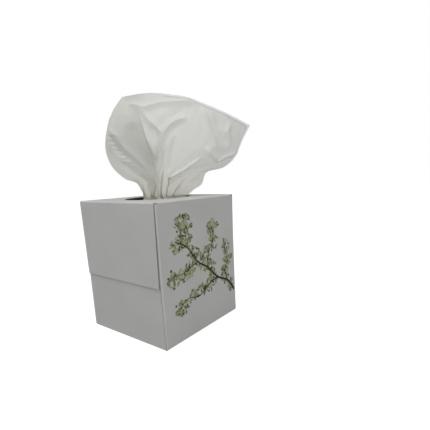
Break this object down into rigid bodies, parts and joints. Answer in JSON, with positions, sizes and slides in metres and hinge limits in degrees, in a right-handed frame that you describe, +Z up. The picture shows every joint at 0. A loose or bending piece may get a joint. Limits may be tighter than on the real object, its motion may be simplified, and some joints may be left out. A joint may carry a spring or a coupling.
{
  "type": "tissue box",
  "caption": "Open cube carton of interfolded paper tissues with one tissue fanned up through its oval top opening.",
  "frame": {"origin": "middle of the carton's base, on the surface that it stands on", "axes": "+Z up, towards the opening; the panel with the twig print faces -Y; the glued ends face +X and -X"},
  "size_m": [0.1276, 0.1124, 0.2243],
  "materials": {
    "printed_board": "white coated folding board, soft sheen",
    "stacked_tissue": "matte soft tissue",
    "tissue": "matte, thin and slightly see-through"
  },
  "bodies": {
    "root": {"carton": "printed_board", "tissue_stack": "stacked_tissue", "pulled_tissue": "tissue"}
  },
  "joints": []
}
